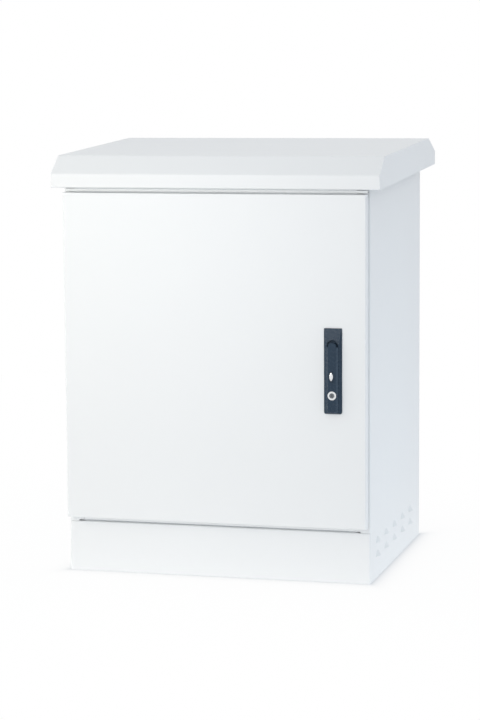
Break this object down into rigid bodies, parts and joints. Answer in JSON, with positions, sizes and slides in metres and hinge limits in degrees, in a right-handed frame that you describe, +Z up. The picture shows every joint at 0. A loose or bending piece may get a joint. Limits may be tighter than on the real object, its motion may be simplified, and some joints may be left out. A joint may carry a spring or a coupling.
{
  "type": "roadside utility cabinet",
  "caption": "Roadside utility cabinet of folded sheet steel with a tilted roof hood, louvred base, lockable swing-handle door and rack rails inside.",
  "frame": {"origin": "centre of the floor anchor pattern, on the ground under the middle of the shell", "axes": "+Z up, the door faces -Y, +X to the right of someone facing the door"},
  "size_m": [0.643, 0.5868, 0.8289],
  "materials": {
    "powder_coat": "satin powder coat on sheet steel",
    "zinc_plate": "zinc plated",
    "bright_steel": "turned",
    "satin_chrome": "satin chrome plate",
    "handle_black": "moulded, fine texture",
    "guide_nylon": "moulded nylon",
    "seal_rubber": "moulded",
    "filter_foam": "pleated filter mat"
  },
  "bodies": {
    "shell": {"side_panel_left": "powder_coat", "side_panel_right": "powder_coat", "back_panel": "powder_coat", "header_rail": "powder_coat", "sill_rail": "powder_coat", "rain_channel": "powder_coat", "top_plate": "powder_coat", "floor_plate": "powder_coat", "plinth_cover": "powder_coat", "roof_hood": "powder_coat", "back_panel_screws": "zinc_plate", "gland_plate": "zinc_plate", "gland_screws": "zinc_plate", "plinth_screws": "zinc_plate", "anchor_feet": "zinc_plate", "hood_support_left": "zinc_plate", "hood_support_right": "zinc_plate", "hood_bolts": "zinc_plate", "rail_front_left": "zinc_plate", "rail_front_right": "zinc_plate", "rail_rear_left": "zinc_plate", "rail_rear_right": "zinc_plate", "strut_lower_left": "zinc_plate", "strut_lower_right": "zinc_plate", "strut_upper_left": "zinc_plate", "strut_upper_right": "zinc_plate", "rail_bolts": "zinc_plate", "hinge_arm_lower": "zinc_plate", "hinge_arm_upper": "zinc_plate", "hinge_screws": "zinc_plate", "earth_stud_shell": "bright_steel", "cable_grommets": "seal_rubber", "intake_filter_left": "filter_foam", "intake_filter_right": "filter_foam"},
    "door": {"door_panel": "powder_coat", "door_gasket": "seal_rubber", "door_stiffener_left": "powder_coat", "door_stiffener_right": "powder_coat", "hinge_leaf_lower": "zinc_plate", "hinge_leaf_upper": "zinc_plate", "hinge_pin_lower": "bright_steel", "hinge_pin_upper": "bright_steel", "rod_guide_lower": "guide_nylon", "rod_guide_upper": "guide_nylon", "earth_stud_door": "bright_steel", "handle_housing": "handle_black", "handle_screws": "zinc_plate"},
    "handle_hub": {"handle_spindle": "bright_steel", "lock_cam": "zinc_plate"},
    "lever": {"swing_lever": "handle_black", "lift_pin": "bright_steel", "lever_insert": "satin_chrome", "lock_barrel": "satin_chrome"},
    "key": {"key_plug": "satin_chrome"},
    "upper_rod": {"upper_rod": "zinc_plate"},
    "lower_rod": {"lower_rod": "zinc_plate"}
  },
  "joints": [
    {"name": "door_swing", "type": "hinge", "parent": "shell", "child": "door", "pos_m": [-0.2868, -0.2645, 0.4245], "axis": [0, 0, -1], "range_deg": [0, 115]},
    {"name": "handle_turn", "type": "hinge", "parent": "door", "child": "handle_hub", "pos_m": [0.2337, -0.274, 0.456], "axis": [0, 1, 0], "range_deg": [0, 90]},
    {"name": "handle_lift", "type": "hinge", "parent": "handle_hub", "child": "lever", "pos_m": [0.2337, -0.2816, 0.456], "axis": [-1, 0, 0], "range_deg": [0, 30]},
    {"name": "key_turn", "type": "hinge", "parent": "lever", "child": "key", "pos_m": [0.2337, -0.274, 0.364], "axis": [0, 1, 0], "range_deg": [0, 90]},
    {"name": "upper_rod_slide", "type": "slide", "parent": "door", "child": "upper_rod", "axis": [0, 0, -1], "range_m": [0, 0.018]},
    {"name": "lower_rod_slide", "type": "slide", "parent": "door", "child": "lower_rod", "axis": [0, 0, 1], "range_m": [0, 0.018]}
  ],
  "couplings": [
    {"joint": "upper_rod_slide", "follows": "handle_turn", "m_per_rad": 0.011434},
    {"joint": "lower_rod_slide", "follows": "handle_turn", "m_per_rad": 0.011434}
  ]
}
